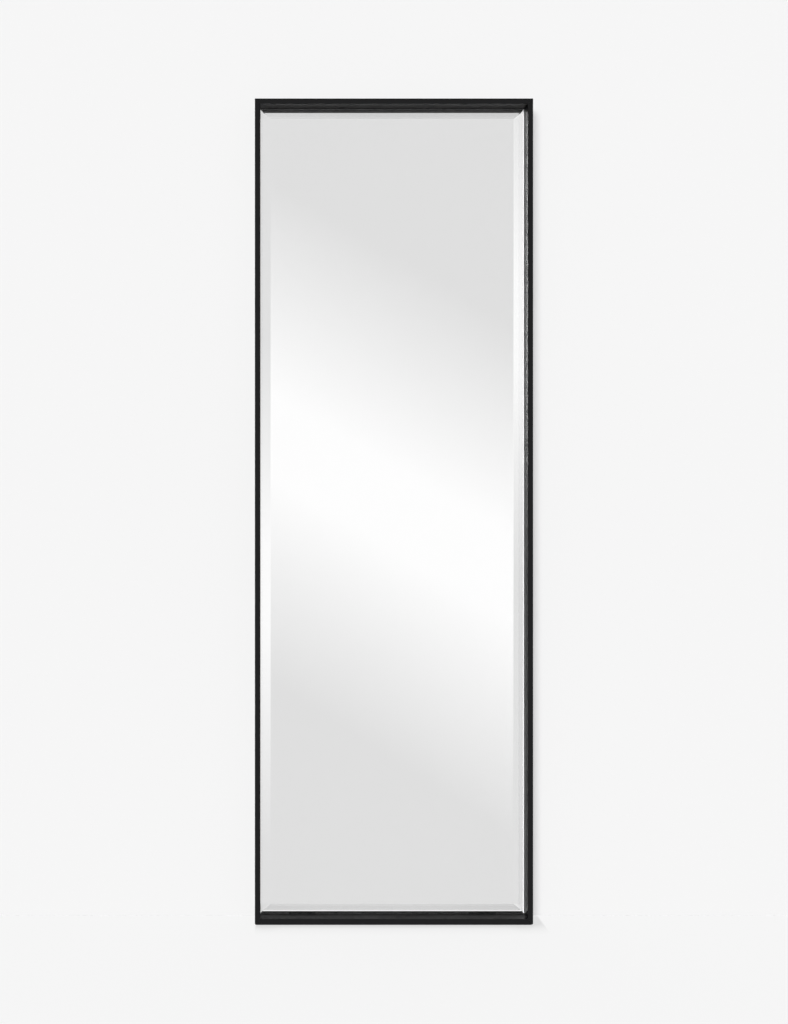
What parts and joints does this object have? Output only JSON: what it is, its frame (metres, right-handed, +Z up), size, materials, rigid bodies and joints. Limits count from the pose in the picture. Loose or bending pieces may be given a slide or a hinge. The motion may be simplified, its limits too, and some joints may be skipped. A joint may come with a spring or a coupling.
{
  "type": "leaning floor mirror",
  "caption": "Tall bevelled mirror recessed in a slim, deep black metal frame, standing on its bottom rail and leaning on a wall, with folding hanging rings on its back.",
  "frame": {"origin": "on the floor, at the middle of the frame's width and of the whole depth", "axes": "+X to the right seen from the front, +Y from the mirror's face to the wall behind it, +Z up along the frame; the mirror faces -Y and stands upright"},
  "size_m": [0.61, 0.06, 1.812],
  "materials": {
    "powder_coat": "satin black powder coat on steel tube",
    "mirror_glass": "silvered float glass with a polished bevel",
    "safety_film": "grey safety film on the silvering",
    "foam_tape": "white foam mounting tape",
    "fibreboard": "raw medium-density fibreboard",
    "cast_key": "plain cast metal",
    "zinc_plate": "bright zinc plate on steel",
    "rubber": "matt black rubber"
  },
  "bodies": {
    "mirror": {"backing_board": "fibreboard", "bottom_rail": "powder_coat", "clip_board_screw_bottom": "zinc_plate", "clip_board_screw_left_1": "zinc_plate", "clip_board_screw_left_2": "zinc_plate", "clip_board_screw_left_3": "zinc_plate", "clip_board_screw_right_1": "zinc_plate", "clip_board_screw_right_2": "zinc_plate", "clip_board_screw_right_3": "zinc_plate", "clip_board_screw_top": "zinc_plate", "clip_wall_screw_bottom": "zinc_plate", "clip_wall_screw_left_1": "zinc_plate", "clip_wall_screw_left_2": "zinc_plate", "clip_wall_screw_left_3": "zinc_plate", "clip_wall_screw_right_1": "zinc_plate", "clip_wall_screw_right_2": "zinc_plate", "clip_wall_screw_right_3": "zinc_plate", "clip_wall_screw_top": "zinc_plate", "corner_key_bottom_left": "cast_key", "corner_key_bottom_right": "cast_key", "corner_key_top_left": "cast_key", "corner_key_top_right": "cast_key", "corner_screw_bottom_left_rail": "zinc_plate", "corner_screw_bottom_left_stile": "zinc_plate", "corner_screw_bottom_right_rail": "zinc_plate", "corner_screw_bottom_right_stile": "zinc_plate", "corner_screw_top_left_rail": "zinc_plate", "corner_screw_top_left_stile": "zinc_plate", "corner_screw_top_right_rail": "zinc_plate", "corner_screw_top_right_stile": "zinc_plate", "floor_pad_left": "rubber", "floor_pad_right": "rubber", "hanger_screw_left_lower": "zinc_plate", "hanger_screw_left_upper": "zinc_plate", "hanger_screw_right_lower": "zinc_plate", "hanger_screw_right_upper": "zinc_plate", "hanger_strap_left": "zinc_plate", "hanger_strap_right": "zinc_plate", "left_stile": "powder_coat", "mirror_glass": "mirror_glass", "mounting_tape_centre": "foam_tape", "mounting_tape_left": "foam_tape", "mounting_tape_right": "foam_tape", "panel_clip_bottom": "zinc_plate", "panel_clip_left_1": "zinc_plate", "panel_clip_left_2": "zinc_plate", "panel_clip_left_3": "zinc_plate", "panel_clip_right_1": "zinc_plate", "panel_clip_right_2": "zinc_plate", "panel_clip_right_3": "zinc_plate", "panel_clip_top": "zinc_plate", "right_stile": "powder_coat", "safety_film": "safety_film", "setting_block_left": "rubber", "setting_block_right": "rubber", "top_rail": "powder_coat", "wall_bumper_left": "rubber", "wall_bumper_right": "rubber"},
    "left_ring": {"hanger_ring_left": "zinc_plate"},
    "right_ring": {"hanger_ring_right": "zinc_plate"}
  },
  "joints": [
    {"name": "left_ring_swing", "type": "hinge", "parent": "mirror", "child": "left_ring", "pos_m": [-0.24, 0.0205, 1.56], "axis": [1, 0, 0], "range_deg": [0, 180]},
    {"name": "right_ring_swing", "type": "hinge", "parent": "mirror", "child": "right_ring", "pos_m": [0.24, 0.0205, 1.56], "axis": [1, 0, 0], "range_deg": [0, 180]}
  ]
}
